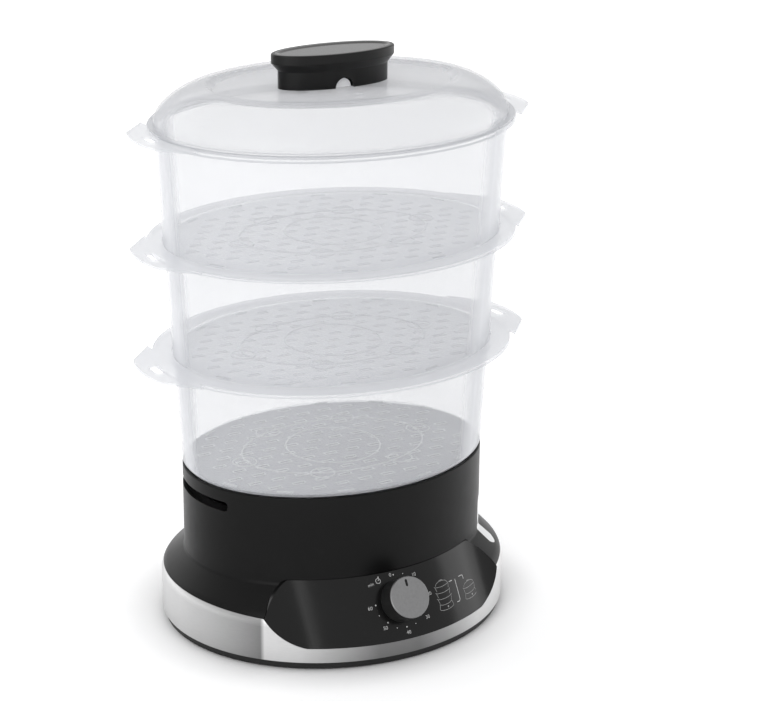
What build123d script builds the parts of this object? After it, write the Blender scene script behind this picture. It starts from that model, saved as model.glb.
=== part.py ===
from build123d import *
import os
from math import atan, cos, degrees, radians, sin, sqrt

# Electric food steamer: oval base with a clockwork timer, three stacked bowls and a lid.
# Millimetres.  Origin at the centre of the base, on the surface it stands on.  +X runs along
# the long axis of the ovals, the control panel faces -Y, and +Z is up.

os.makedirs("parts", exist_ok=True)

# ------------------------------------------------------------------ driving dimensions
# Plan ovals are given by their half-lengths along X and Y.
skirt_x = 127.4
skirt_y = 113.7
drum_x = 112.0
drum_y = 88.0

# Play between pieces
seat_play = 0.3         # beside a seat
stack_play = 0.8        # beside a stacked bowl
shaft_play = 0.05       # radial, shaft in its bush
screw_play = 0.1        # radial, screw in its hole

# Base heights, each from the level below it
foot_height = 1.0       # rubber feet under the base plate
plinth_height = 5.3     # base plate's visible rim
skirt_height = 31.7
shoulder_height = 16.5
drum_height = 64.5

# Base walls
drum_wall = 3.0
skirt_wall = 4.2
shoulder_round = 13.0
shoulder_fillet = 3.0
drum_rim_round = 0.8
plinth_inset = 2.1
plate_thickness = 2.5
plate_rim_width = 3.0
tongue_height = 3.2
tongue_width = 2.0

# Trim band
band_thickness = 1.2
band_sag = 5.4          # its upper edge is lower at the front and back than at the ends
band_end_rise = 1.4     # upper edge above the shoulder's level at the ends
band_play = 0.2

# Screws and feet under the base
boss_x = 110.0
boss_y = 22.0
boss_radius = 5.0
boss_top_gap = 8.0      # below the drum's foot
base_screw_radius = 1.6
base_screw_length = 16.0
screw_head_radius = 3.2
screw_head_height = 1.8
pad_x = 86.0
pad_y = 60.0
pad_radius = 9.0

# Control panel, on a leaning surface whose plan is one outward arc between two inward ones
panel_top_z = 58.0
panel_bottom_z = 17.3
panel_slope = 0.6425    # forward for each unit down
panel_arc_x = 66.0
panel_arc_depth = 17.5
panel_tail_x = 100.0
panel_tail_depth = 24.5
panel_proud = 0.5
panel_depth = 3.0       # along Y
panel_gap = 0.3
panel_top_x = 72.0
panel_side_x = 84.8
panel_side_z = 48.0
panel_corner_x = 93.4
panel_corner_z = 36.7
panel_hip_x = 82.5
panel_hip_z = 23.0
panel_base_x = 70.0
pocket_wall = 2.5
pocket_frame = 2.2
pocket_frame_back = 1.1 # frame's front edge behind the panel's face

# Timer and knob, on the panel's normal through the dial's centre
dial_z = 40.0
dial_seat_radius = 16.6
dial_seat_height = 0.5
knob_radius = 15.3
knob_draft = 0.4
knob_height = 14.4
knob_gap = 0.4
knob_cap_radius = 14.7
knob_cap_thickness = 1.3
knob_cap_edge = 0.5
pointer_length = 5.0
pointer_width = 1.8
pointer_reach = 12.6
shaft_radius = 3.0
shaft_flat = 0.8
shaft_grip = 9.0        # length held in the knob
shaft_hole_play = 1.0   # radial, where the shaft passes through walls
timer_pad = 3.0         # flat pad behind the pocket
timer_pad_root = 1.0
timer_pad_radius = 27.0
timer_radius = 18.0
timer_depth = 17.0
timer_shaft_depth = 12.0
timer_ear_x = 22.0
timer_ear_radius = 4.0
timer_ear_thickness = 1.6
timer_screw_radius = 1.4

# Water tank inside the drum
tank_x = 105.0
tank_y = 79.4
tank_wall = 2.2
tank_round = 6.0
tank_rim = 1.6
post_x = 62.0
post_y = 44.0
post_radius = 4.0

# Water inlets, one at each end of the drum
inlet_width = 74.0
inlet_height = 7.0
inlet_round = 2.5
inlet_below_ledge = 0.8
ledge_width = 3.0
ledge_thickness = 2.0
tray_drop = 6.0         # tray seat below the drum's rim

# Water level window
window_x = 97.0
window_width = 9.0
window_flare = 13.0
window_flare_rise = 4.0 # where the flare begins, above the drum's foot
window_low_round = 3.0
window_low_z = 43.0
window_high_z = 79.0
window_inward = 12.0
window_outward = 30.0
window_gap = 0.15

# Heater
heater_plate_radius = 44.0
heater_plate_thickness = 1.5
heater_plate_round = 1.0
heater_hole_radius = 36.0
seal_thickness = 1.0
heater_ring_radius = 26.0
heater_tube_radius = 3.4
heater_lead = 9.0
heater_arc = 320.0
braze_gap = 0.05
thermostat_radius = 10.0
thermostat_height = 7.0
thermostat_tab = 6.0
thermostat_tab_thickness = 0.8

# Steam ring
ring_radius = 50.0
ring_wall = 1.8
ring_top_radius = 46.0
ring_tray_gap = 2.0
ring_notch_width = 9.0
ring_notch_height = 6.0
ring_notch_count = 8

# Drip tray
tray_wall = 1.6
tray_island_x = 40.0
tray_island_y = 26.0
tray_lip = 4.2          # inward reach of the rim that carries the lower bowl
tray_island_gap = 1.0   # under the bowl's floor
tray_island_draft = 3.0
tray_slot_length = 9.0
tray_slot_width = 2.2
tray_slot_pitch_x = 12.6
tray_slot_pitch_y = 7.9
tray_slot_columns = 5
tray_slot_rows = 3

# Bowls
bowl_height = 82.7      # underside of the floor to the top of the flange
bowl_wall = 2.0
bowl_floor = 1.8
bowl_draft = 4.0
bowl_step = 0.8         # each bowl's floor is this much larger than the top of the one below
low_bowl_round = 5.0
bowl_round = 2.0
seat_depth = 2.5
flange_thickness = 1.8
flange_lip = 3.0
flange_lip_width = 2.5
flange_x = [131.3, 133.2, 131.0]
flange_narrowing = 23.4
ear_reach = 146.6
ear_corner_x = 142.6
ear_corner_y = 25.0
ear_root_x = 122.0
ear_root_y = 48.0
ear_corner_round = 7.0
ear_slot_x = 136.0
ear_slot_length = 17.0
ear_slot_width = 6.5

# Perforations in the bowl floors
slot_length = 8.0
slot_width = 2.2
slot_pitch_x = 18.0
slot_pitch_y = 13.0
slot_margin = 9.0

# Lid
lid_wall = 2.0
lid_flange_inset = 0.8
lid_spigot = 2.0
lid_flange_thickness = 1.6
lid_foot_height = 4.0   # flange to the foot of the dome
lid_dome_height = 23.1
lid_crest_inset = 32.9
lid_dome_power = 1.27   # of the sine and cosine that shape the dome's profile
lid_dome_sections = 5
lid_crest_width = 3.0
lid_recess_depth = 3.3
lid_recess_width = 5.0
vent_radius = 3.0
vent_y = 38.0

# Lid handle
handle_x = 46.1
handle_y = 20.3
neck_x = 41.2
neck_y = 17.5
neck_height = 12.0
undercut_height = 5.5
grip_height = 6.3
grip_round = 1.2
handle_cap_inset = 2.6
handle_cap_thickness = 2.0
handle_cap_dish = 0.7
handle_cap_rim = 1.5
notch_radius = 7.0
notch_depth = 6.0
handle_screw_x = 24.0
handle_screw_radius = 1.8
handle_screw_length = 9.0

# Mains side
gland_z = 23.0
gland_bore = 3.4
gland_hole_radius = 6.0
gland_flange_radius = 8.5
gland_flange = 4.0
gland_barb = 1.2
terminal_length = 30.0
terminal_width = 14.0
terminal_height = 15.0
terminal_ways = 3

# ------------------------------------------------------------------ levels and derived sizes
plate_z = foot_height
skirt_z = plate_z + plinth_height
shoulder_z = skirt_z + skirt_height
drum_foot_z = shoulder_z + shoulder_height
drum_top_z = drum_foot_z + drum_height
tray_seat_z = drum_top_z - tray_drop
ledge_z = tray_seat_z - ledge_thickness
inlet_top_z = ledge_z - inlet_below_ledge
inlet_low_z = inlet_top_z - inlet_height
tank_floor_z = drum_foot_z
tank_top_z = inlet_low_z - seat_play

bowl_zero_z = drum_top_z + seat_play
bowl_pitch = bowl_height - seat_depth
lid_z = bowl_zero_z + 2 * bowl_pitch + bowl_height

lean = degrees(atan(panel_slope))
panel_y = -drum_y - panel_proud
dial_y = panel_y - panel_slope * (panel_top_z - dial_z)
dial = Plane(
    origin=(0, dial_y, dial_z),
    x_dir=(1, 0, 0),
    z_dir=(0, -cos(radians(lean)), sin(radians(lean))),
)
timer_face = -(panel_depth + panel_gap + pocket_wall) * cos(radians(lean)) - timer_pad


def edges_at(part, height):
    """The part's edges that lie in the level plane at this height."""
    return part.edges().filter_by_position(Axis.Z, height - 0.01, height + 0.01)


def leaning_slab(front, back):
    """Solid between two copies of the panel surface, moved back along Y by front and by back.

    It is taller than the panel on both sides, so it has to be trimmed to an outline.
    """
    spare = 6.0
    top_y = panel_y + panel_slope * spare
    height = panel_top_z - panel_bottom_z + 2 * spare
    with BuildPart(mode=Mode.PRIVATE) as slab:
        with BuildSketch(Plane.XY.offset(panel_top_z + spare)):
            with BuildLine():
                front_arc = ThreePointArc(
                    (-panel_arc_x, top_y + front + panel_arc_depth),
                    (0, top_y + front),
                    (panel_arc_x, top_y + front + panel_arc_depth),
                )
                front_right = TangentArc(
                    front_arc @ 1,
                    (panel_tail_x, top_y + front + panel_tail_depth),
                    tangent=front_arc % 1,
                )
                front_left = TangentArc(
                    front_arc @ 0,
                    (-panel_tail_x, top_y + front + panel_tail_depth),
                    tangent=-(front_arc % 0),
                )
                back_arc = ThreePointArc(
                    (-panel_arc_x, top_y + back + panel_arc_depth),
                    (0, top_y + back),
                    (panel_arc_x, top_y + back + panel_arc_depth),
                )
                back_right = TangentArc(
                    back_arc @ 1,
                    (panel_tail_x, top_y + back + panel_tail_depth),
                    tangent=back_arc % 1,
                )
                back_left = TangentArc(
                    back_arc @ 0,
                    (-panel_tail_x, top_y + back + panel_tail_depth),
                    tangent=-(back_arc % 0),
                )
                Line(front_right @ 1, back_right @ 1)
                Line(front_left @ 1, back_left @ 1)
            make_face()
        extrude(amount=height / cos(radians(lean)), dir=(0, -panel_slope, -1))
    return slab.part


def panel_outline(grow):
    """The panel's outline seen from the front, grown by a margin and drawn out along Y."""
    with BuildPart(mode=Mode.PRIVATE) as prism:
        with BuildSketch(Plane.XZ):
            with BuildLine():
                top = Line((0, panel_top_z), (panel_top_x, panel_top_z))
                side = ThreePointArc(
                    top @ 1, (panel_side_x, panel_side_z), (panel_corner_x, panel_corner_z)
                )
                hip = ThreePointArc(
                    side @ 1, (panel_hip_x, panel_hip_z), (panel_base_x, panel_bottom_z)
                )
                Line(hip @ 1, (0, panel_bottom_z))
                mirror(about=Plane.YZ)
            make_face()
            if grow:
                offset(amount=grow)
        extrude(amount=2 * skirt_y)
    return prism.part


def skirt_form(inset):
    """Solid inside the skirt and the shoulder, set inward from their surface."""
    corner_z = shoulder_z - inset / 2
    with BuildPart(mode=Mode.PRIVATE) as form:
        with BuildSketch(Plane.XY.offset(skirt_z)):
            Ellipse(skirt_x - inset, skirt_y - inset)
        extrude(amount=corner_z - skirt_z)
        with BuildSketch(Plane.XY.offset(corner_z)):
            Ellipse(skirt_x - inset, skirt_y - inset)
        with BuildSketch(Plane.XY.offset(drum_foot_z - inset / 2)):
            Ellipse(drum_x - inset, drum_y - inset)
        loft(ruled=True)
        fillet(edges_at(form.part, corner_z), shoulder_round - inset)
    return form.part


def band_zone(play):
    """Space that the trim band takes up, under an edge that sags at the front and back."""
    end_x = skirt_x + skirt_wall
    end_z = shoulder_z + band_end_rise + play
    with BuildPart(mode=Mode.PRIVATE) as zone:
        with BuildSketch(Plane.XZ):
            with BuildLine():
                sag = ThreePointArc((-end_x, end_z), (0, end_z - band_sag), (end_x, end_z))
                Polyline(sag @ 1, (end_x, skirt_z - play), (-end_x, skirt_z - play), sag @ 0)
            make_face()
        extrude(amount=skirt_y + skirt_wall, both=True)
    return zone.part


def window_outline(grow):
    """Prism that cuts the water level window out of the drum and the shoulder."""
    window_y = -drum_y * sqrt(1 - (window_x / drum_x) ** 2)
    outward = Vector(window_x / drum_x**2, window_y / drum_y**2, 0)
    face = Plane(
        origin=(window_x, window_y, 0),
        x_dir=Vector(0, 0, 1).cross(outward),
        z_dir=outward,
    )
    half = window_width / 2 + grow
    flare = window_flare / 2 + grow
    low = window_low_z - grow
    high = window_high_z + grow - half
    waist = drum_foot_z + window_flare_rise
    corner = low + window_low_round
    with BuildPart(mode=Mode.PRIVATE) as prism:
        with BuildSketch(face.offset(-window_inward)):
            with BuildLine():
                Line((-half, waist), (-half, high))
                ThreePointArc((-half, high), (0, high + half), (half, high))
                Line((half, high), (half, waist))
                Line((half, waist), (flare, corner))
                ThreePointArc((flare, corner), (0, low), (-flare, corner))
                Line((-flare, corner), (-half, waist))
            make_face()
        extrude(amount=window_inward + window_outward)
    return prism.part


# ------------------------------------------------------------------ housing
pocket_back = panel_depth + panel_gap
pocket_front = -2 * skirt_wall - shoulder_round

with BuildPart() as housing_form:
    add(skirt_form(0))
    with BuildSketch(Plane.XY.offset(drum_foot_z)):
        Ellipse(drum_x, drum_y)
    extrude(amount=drum_height)
    fillet(edges_at(housing_form.part, drum_foot_z), shoulder_fillet)
    fillet(edges_at(housing_form.part, drum_top_z), drum_rim_round)

with BuildPart() as housing_core:
    with BuildSketch(Plane.XY.offset(skirt_z)):
        Ellipse(skirt_x - skirt_wall, skirt_y - skirt_wall)
    extrude(amount=skirt_height - drum_wall)
    with BuildSketch(Plane.XY.offset(shoulder_z - drum_wall)):
        Ellipse(skirt_x - skirt_wall, skirt_y - skirt_wall)
    with BuildSketch(Plane.XY.offset(drum_foot_z)):
        Ellipse(drum_x - drum_wall, drum_y - drum_wall)
    loft(ruled=True)
    fillet(edges_at(housing_core.part, shoulder_z - drum_wall), shoulder_round - drum_wall)
    with BuildSketch(Plane.XY.offset(drum_foot_z)):
        Ellipse(drum_x - drum_wall, drum_y - drum_wall)
    extrude(amount=ledge_z - drum_foot_z)
    with BuildSketch(Plane.XY.offset(ledge_z)):
        Ellipse(drum_x - drum_wall - ledge_width, drum_y - drum_wall - ledge_width)
    extrude(amount=ledge_thickness)
    with BuildSketch(Plane.XY.offset(tray_seat_z)):
        Ellipse(drum_x - drum_wall, drum_y - drum_wall)
    extrude(amount=tray_drop)

housing_shell = housing_form.part - housing_core.part
pocket_slab = leaning_slab(pocket_frame_back, pocket_back + pocket_wall)

with BuildPart() as housing:
    add(housing_shell)
    # frame and floor of the panel's pocket
    add(pocket_slab & panel_outline(pocket_frame) & housing_form.part)
    # flat pad that carries the timer
    with BuildSketch(dial.offset(timer_face)):
        Circle(timer_pad_radius)
    extrude(amount=timer_pad + timer_pad_root)
    # screw bosses inside the skirt
    with BuildSketch(Plane.XY.offset(skirt_z)):
        with GridLocations(2 * boss_x, 2 * boss_y, 2, 2):
            Circle(boss_radius)
    extrude(amount=drum_foot_z - boss_top_gap - skirt_z)
    with BuildSketch(Plane.XY.offset(skirt_z)):
        with GridLocations(2 * boss_x, 2 * boss_y, 2, 2):
            Circle(base_screw_radius + screw_play)
    extrude(amount=base_screw_length, mode=Mode.SUBTRACT)
    # openings
    add(leaning_slab(pocket_front, pocket_back) & panel_outline(panel_gap), mode=Mode.SUBTRACT)
    add(band_zone(band_play) - skirt_form(band_thickness + band_play), mode=Mode.SUBTRACT)
    add(window_outline(window_gap), mode=Mode.SUBTRACT)
    with BuildSketch(Plane.YZ.offset(-skirt_x)):
        with Locations((0, (inlet_low_z + inlet_top_z) / 2)):
            RectangleRounded(inlet_width, inlet_height, inlet_round)
    extrude(amount=2 * skirt_x, mode=Mode.SUBTRACT)
    with BuildSketch(dial.offset(timer_face)):
        Circle(shaft_radius + shaft_hole_play)
        with GridLocations(2 * timer_ear_x, 0, 2, 1):
            Circle(timer_screw_radius + screw_play)
    extrude(amount=timer_pad + pocket_wall + panel_gap, mode=Mode.SUBTRACT)
    with BuildSketch(Plane.XZ.offset(-skirt_y)):
        with Locations((0, gland_z)):
            Circle(gland_hole_radius)
    extrude(amount=2 * skirt_wall, mode=Mode.SUBTRACT)
housing.part.label = "housing"
export_step(housing.part, "parts/housing.step")

with BuildPart() as level_window:
    add(housing_shell & window_outline(0))
level_window.part.label = "level_window"
export_step(level_window.part, "parts/level_window.step")

with BuildPart() as trim_band:
    add((skirt_form(0) - skirt_form(band_thickness)) & band_zone(0))
    add(panel_outline(panel_gap), mode=Mode.SUBTRACT)
    with BuildSketch(Plane.XZ.offset(-skirt_y)):
        with Locations((0, gland_z)):
            Circle(gland_hole_radius)
    extrude(amount=2 * skirt_wall, mode=Mode.SUBTRACT)
trim_band.part.label = "trim_band"
export_step(trim_band.part, "parts/trim_band.step")

# ------------------------------------------------------------------ underside
plinth_x = skirt_x - plinth_inset
plinth_y = skirt_y - plinth_inset
tongue_x = skirt_x - skirt_wall - seat_play
tongue_y = skirt_y - skirt_wall - seat_play

with BuildPart() as base_plate:
    with BuildSketch(Plane.XY.offset(skirt_z - plate_thickness)):
        Ellipse(plinth_x, plinth_y)
    extrude(amount=plate_thickness)
    with BuildSketch(Plane.XY.offset(plate_z)):
        Ellipse(plinth_x, plinth_y)
        Ellipse(plinth_x - plate_rim_width, plinth_y - plate_rim_width, mode=Mode.SUBTRACT)
    extrude(amount=plinth_height - plate_thickness)
    with BuildSketch(Plane.XY.offset(skirt_z)):
        Ellipse(tongue_x, tongue_y)
        Ellipse(tongue_x - tongue_width, tongue_y - tongue_width, mode=Mode.SUBTRACT)
    extrude(amount=tongue_height)
    with BuildSketch(Plane.XY.offset(plate_z)):
        with GridLocations(2 * boss_x, 2 * boss_y, 2, 2):
            Circle(base_screw_radius + screw_play)
    extrude(amount=plinth_height, mode=Mode.SUBTRACT)
base_plate.part.label = "base_plate"
export_step(base_plate.part, "parts/base_plate.step")

with BuildPart() as rubber_feet:
    with BuildSketch():
        with GridLocations(2 * pad_x, 2 * pad_y, 2, 2):
            Circle(pad_radius)
    extrude(amount=skirt_z - plate_thickness)
    chamfer(edges_at(rubber_feet.part, 0), foot_height)
rubber_feet.part.label = "rubber_feet"
export_step(rubber_feet.part, "parts/rubber_feet.step")

with BuildPart() as base_screws:
    with BuildSketch(Plane.XY.offset(skirt_z - plate_thickness - screw_head_height)):
        with GridLocations(2 * boss_x, 2 * boss_y, 2, 2):
            Circle(screw_head_radius)
    extrude(amount=screw_head_height)
    with BuildSketch(Plane.XY.offset(skirt_z - plate_thickness)):
        with GridLocations(2 * boss_x, 2 * boss_y, 2, 2):
            Circle(base_screw_radius)
    extrude(amount=base_screw_length)
base_screws.part.label = "base_screws"
export_step(base_screws.part, "parts/base_screws.step")

# ------------------------------------------------------------------ control panel, timer and knob
with BuildPart() as control_panel:
    add(leaning_slab(0, panel_depth) & panel_outline(0))
    with BuildSketch(dial.offset(-panel_depth / 2)):
        Circle(dial_seat_radius)
    extrude(amount=panel_depth / 2 + dial_seat_height)
    with BuildSketch(dial.offset(-panel_depth)):
        Circle(shaft_radius + shaft_hole_play)
    extrude(amount=2 * panel_depth, mode=Mode.SUBTRACT)
control_panel.part.label = "control_panel"
export_step(control_panel.part, "parts/control_panel.step")

with BuildPart() as timer:
    with BuildSketch(dial.offset(timer_face)):
        Circle(timer_radius)
    extrude(amount=-timer_depth)
    with BuildSketch(dial.offset(timer_face)):
        SlotOverall(2 * (timer_ear_x + timer_ear_radius), 2 * timer_ear_radius)
    extrude(amount=-timer_ear_thickness)
    with BuildSketch(dial.offset(timer_face)):
        with GridLocations(2 * timer_ear_x, 0, 2, 1):
            Circle(timer_screw_radius + screw_play)
    extrude(amount=-timer_ear_thickness, mode=Mode.SUBTRACT)
    with BuildSketch(dial.offset(timer_face)):
        Circle(shaft_radius + shaft_play)
    extrude(amount=-timer_shaft_depth - seat_play, mode=Mode.SUBTRACT)
timer.part.label = "timer"
export_step(timer.part, "parts/timer.step")

with BuildPart() as timer_screws:
    with BuildSketch(dial.offset(timer_face - timer_ear_thickness)):
        with GridLocations(2 * timer_ear_x, 0, 2, 1):
            Circle(timer_screw_radius)
    extrude(amount=timer_ear_thickness + timer_pad)
    with BuildSketch(dial.offset(timer_face - timer_ear_thickness)):
        with GridLocations(2 * timer_ear_x, 0, 2, 1):
            Circle(2 * timer_screw_radius)
    extrude(amount=-timer_screw_radius)
timer_screws.part.label = "timer_screws"
export_step(timer_screws.part, "parts/timer_screws.step")

knob_foot = dial_seat_height + knob_gap
knob_top = knob_foot + knob_height

with BuildPart() as timer_shaft:
    with BuildSketch(dial.offset(timer_face - timer_shaft_depth)):
        Circle(shaft_radius)
    extrude(amount=knob_foot + shaft_grip - timer_face + timer_shaft_depth)
    with BuildSketch(dial.offset(knob_foot)):
        with Locations((0, shaft_radius)):
            Rectangle(2 * shaft_radius, 2 * shaft_flat)
    extrude(amount=shaft_grip, mode=Mode.SUBTRACT)
timer_shaft.part.label = "timer_shaft"
export_step(timer_shaft.part, "parts/timer_shaft.step")

with BuildPart() as knob:
    with BuildSketch(dial.offset(knob_foot)):
        Circle(knob_radius)
    extrude(amount=knob_height, taper=degrees(atan(knob_draft / knob_height)))
    with BuildSketch(dial.offset(knob_foot)):
        Circle(shaft_radius + shaft_play)
        with Locations((0, shaft_radius + shaft_play)):
            Rectangle(3 * shaft_radius, 2 * shaft_flat, mode=Mode.SUBTRACT)
    extrude(amount=shaft_grip + seat_play, mode=Mode.SUBTRACT)
knob.part.label = "knob"
export_step(knob.part, "parts/knob.step")

with BuildPart() as knob_cap:
    with BuildSketch(dial.offset(knob_top)):
        Circle(knob_cap_radius)
    extrude(amount=knob_cap_thickness)
    chamfer(knob_cap.faces().sort_by(Axis((0, 0, 0), dial.z_dir))[-1].edges(), knob_cap_edge)
    with BuildSketch(dial.offset(knob_top)):
        with Locations((0, pointer_reach - pointer_length / 2)):
            SlotOverall(pointer_length, pointer_width, rotation=90)
    extrude(amount=knob_cap_thickness, mode=Mode.SUBTRACT)
knob_cap.part.label = "knob_cap"
export_step(knob_cap.part, "parts/knob_cap.step")

# ------------------------------------------------------------------ mains inlet side
with BuildPart() as cord_gland:
    with BuildSketch(Plane.YZ):
        with BuildLine():
            Polyline(
                (skirt_y + gland_flange, gland_z + gland_bore),
                (skirt_y + gland_flange, gland_z + gland_hole_radius),
                (skirt_y, gland_z + gland_flange_radius),
                (skirt_y, gland_z + gland_hole_radius - seat_play),
                (skirt_y - skirt_wall - seat_play, gland_z + gland_hole_radius - seat_play),
                (skirt_y - skirt_wall - seat_play, gland_z + gland_hole_radius + gland_barb),
                (skirt_y - 2 * skirt_wall, gland_z + gland_hole_radius - gland_barb),
                (skirt_y - 2 * skirt_wall, gland_z + gland_bore),
                close=True,
            )
        make_face()
    revolve(axis=Axis((0, 0, gland_z), (0, 1, 0)))
cord_gland.part.label = "cord_gland"
export_step(cord_gland.part, "parts/cord_gland.step")

terminal_y = skirt_y - 2 * skirt_wall - 2 * terminal_width

with BuildPart() as terminal_block:
    with BuildSketch(Plane.XY.offset(skirt_z)):
        with Locations((0, terminal_y)):
            Rectangle(terminal_length, terminal_width)
    extrude(amount=terminal_height)
    with BuildSketch(Plane.XY.offset(skirt_z + terminal_height)):
        with Locations((0, terminal_y)):
            with GridLocations(terminal_length / terminal_ways, 0, terminal_ways, 1):
                Circle(terminal_width / 5)
    extrude(amount=-terminal_height / 2, mode=Mode.SUBTRACT)
terminal_block.part.label = "terminal_block"
export_step(terminal_block.part, "parts/terminal_block.step")

# ------------------------------------------------------------------ water tank and heater
tank_rim_x = drum_x - drum_wall - 2 * seat_play
tank_rim_y = drum_y - drum_wall - 2 * seat_play

with BuildPart() as water_tank:
    with BuildSketch(Plane.XY.offset(tank_floor_z)):
        Ellipse(tank_x, tank_y)
    extrude(amount=tank_top_z - tank_floor_z)
    fillet(edges_at(water_tank.part, tank_floor_z), tank_round)
    with BuildSketch(Plane.XY.offset(tank_top_z - tank_rim)):
        Ellipse(tank_rim_x, tank_rim_y)
    extrude(amount=tank_rim)
    with BuildSketch(Plane.XY.offset(skirt_z)):
        with GridLocations(2 * post_x, 2 * post_y, 2, 2):
            Circle(post_radius)
    extrude(amount=tank_floor_z - skirt_z + tank_wall)
    with BuildSketch(Plane.XY.offset(tank_floor_z + tank_wall)):
        Ellipse(tank_x - tank_wall, tank_y - tank_wall)
    extrude(amount=tank_top_z - tank_floor_z, mode=Mode.SUBTRACT)
    with BuildSketch(Plane.XY.offset(tank_floor_z)):
        Circle(heater_hole_radius)
    extrude(amount=tank_wall, mode=Mode.SUBTRACT)
water_tank.part.label = "water_tank"
export_step(water_tank.part, "parts/water_tank.step")

seal_z = tank_floor_z + tank_wall
heater_z = seal_z + seal_thickness

with BuildPart() as heater_seal:
    with BuildSketch(Plane.XY.offset(seal_z)):
        Circle(heater_plate_radius)
        Circle(heater_hole_radius, mode=Mode.SUBTRACT)
    extrude(amount=seal_thickness)
heater_seal.part.label = "heater_seal"
export_step(heater_seal.part, "parts/heater_seal.step")

with BuildPart() as heater_plate:
    with BuildSketch(Plane.XY.offset(heater_z)):
        Circle(heater_plate_radius)
    extrude(amount=heater_plate_thickness)
    fillet(
        edges_at(heater_plate.part, heater_z + heater_plate_thickness), heater_plate_round
    )
heater_plate.part.label = "heater_plate"
export_step(heater_plate.part, "parts/heater_plate.step")

heater_tube_z = heater_z - heater_tube_radius - braze_gap

with BuildPart() as heater_tube:
    with BuildSketch(Plane.XZ):
        with Locations((heater_ring_radius, heater_tube_z)):
            Circle(heater_tube_radius)
    revolve(axis=Axis.Z, revolution_arc=heater_arc)
    with BuildSketch(Plane.XY.offset(heater_tube_z)):
        with PolarLocations(heater_ring_radius, 2, angular_range=heater_arc, endpoint=True):
            Circle(heater_tube_radius)
    extrude(amount=-heater_tube_radius - heater_lead)
heater_tube.part.label = "heater_tube"
export_step(heater_tube.part, "parts/heater_tube.step")

with BuildPart() as thermostat:
    with BuildSketch(Plane.XY.offset(heater_z)):
        Circle(thermostat_radius)
    extrude(amount=-thermostat_height)
    with BuildSketch(Plane.XY.offset(heater_z - thermostat_height)):
        with GridLocations(thermostat_radius, 0, 2, 1):
            Rectangle(thermostat_tab_thickness, thermostat_tab)
    extrude(amount=-thermostat_tab)
thermostat.part.label = "thermostat"
export_step(thermostat.part, "parts/thermostat.step")

# ------------------------------------------------------------------ steam ring and drip tray
ring_top_z = tray_seat_z - ring_tray_gap

with BuildPart() as steam_ring:
    with BuildSketch(Plane.XY.offset(seal_z)):
        Circle(ring_radius)
    with BuildSketch(Plane.XY.offset(ring_top_z)):
        Circle(ring_top_radius)
    loft(ruled=True)
    with BuildSketch(Plane.XY.offset(seal_z)):
        Circle(ring_radius - ring_wall)
    with BuildSketch(Plane.XY.offset(ring_top_z)):
        Circle(ring_top_radius - ring_wall)
    loft(ruled=True, mode=Mode.SUBTRACT)
    with BuildSketch(Plane.XY.offset(seal_z)):
        with PolarLocations(ring_radius, ring_notch_count):
            Rectangle(6 * ring_wall, ring_notch_width)
    extrude(amount=ring_notch_height, mode=Mode.SUBTRACT)
steam_ring.part.label = "steam_ring"
export_step(steam_ring.part, "parts/steam_ring.step")

tray_x = drum_x - drum_wall - seat_play
tray_y = drum_y - drum_wall - seat_play
tray_top_z = bowl_zero_z
island_top_z = tray_top_z - tray_island_gap
island_top_x = tray_island_x - tray_island_draft
island_top_y = tray_island_y - tray_island_draft

with BuildPart() as drip_tray:
    with BuildSketch(Plane.XY.offset(tray_seat_z)):
        Ellipse(tray_x, tray_y)
    extrude(amount=tray_top_z - tray_seat_z)
    with BuildSketch(Plane.XY.offset(tray_seat_z + tray_wall)):
        Ellipse(tray_x - tray_wall, tray_y - tray_wall)
    extrude(amount=tray_top_z - tray_seat_z - 2 * tray_wall, mode=Mode.SUBTRACT)
    with BuildSketch(Plane.XY.offset(tray_top_z - tray_wall)):
        Ellipse(tray_x - tray_lip, tray_y - tray_lip)
    extrude(amount=tray_wall, mode=Mode.SUBTRACT)
    with BuildSketch(Plane.XY.offset(tray_seat_z)):
        Ellipse(tray_island_x, tray_island_y)
    with BuildSketch(Plane.XY.offset(island_top_z)):
        Ellipse(island_top_x, island_top_y)
    loft(ruled=True)
    with BuildSketch(Plane.XY.offset(tray_seat_z)):
        Ellipse(tray_island_x - tray_wall, tray_island_y - tray_wall)
    with BuildSketch(Plane.XY.offset(island_top_z - tray_wall)):
        Ellipse(island_top_x - tray_wall, island_top_y - tray_wall)
    loft(ruled=True, mode=Mode.SUBTRACT)
    with BuildSketch(Plane.XY.offset(island_top_z)):
        with GridLocations(
            tray_slot_pitch_x, tray_slot_pitch_y, tray_slot_columns, tray_slot_rows
        ):
            Rectangle(tray_slot_length, tray_slot_width)
    extrude(amount=-tray_wall, mode=Mode.SUBTRACT)
drip_tray.part.label = "drip_tray"
export_step(drip_tray.part, "parts/drip_tray.step")


# ------------------------------------------------------------------ bowls
def slot_places(half_x, half_y):
    """Staggered places for the floor slots, inside an oval."""
    places = []
    rows = int(half_y / slot_pitch_y)
    columns = int(half_x / slot_pitch_x) + 1
    for row in range(-rows, rows + 1):
        shift = slot_pitch_x / 2 if row % 2 else 0
        for column in range(-columns, columns + 1):
            x = column * slot_pitch_x + shift
            y = row * slot_pitch_y
            reach_x = abs(x) + slot_length / 2
            if (reach_x / half_x) ** 2 + (y / half_y) ** 2 < 1:
                places.append((x, y))
    return places


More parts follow.
